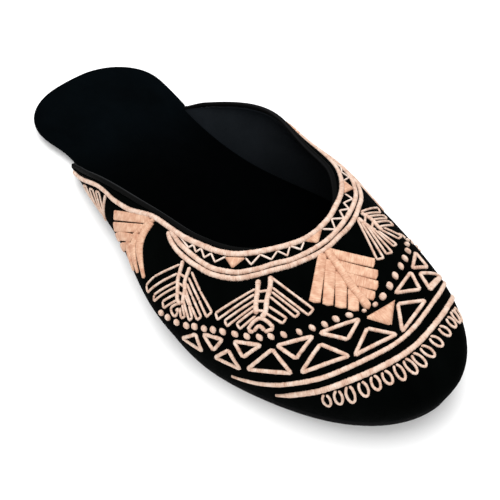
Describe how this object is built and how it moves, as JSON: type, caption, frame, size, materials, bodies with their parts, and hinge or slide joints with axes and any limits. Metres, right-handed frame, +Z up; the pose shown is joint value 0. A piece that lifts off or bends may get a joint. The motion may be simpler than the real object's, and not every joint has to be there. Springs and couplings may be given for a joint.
{
  "type": "velvet mule slipper",
  "caption": "Flat black velvet mule slipper for the right foot, with an open heel, a closed embroidered toe, satin piping and a thin rubber sole.",
  "frame": {"origin": "middle of the slipper's footprint, on the floor it stands on", "axes": "+X from the heel towards the toe, +Y to the medial side of the right foot, +Z up from the floor"},
  "size_m": [0.2568, 0.0962, 0.0376],
  "materials": {
    "velvet_upper": "matte pile velvet",
    "velvet_insole": "short flat pile velvet",
    "satin_piping": "satin",
    "sole_rubber": "matte"
  },
  "bodies": {
    "root": {"outsole": "sole_rubber", "insole": "velvet_insole", "upper": "velvet_upper", "binding": "satin_piping"}
  },
  "joints": []
}
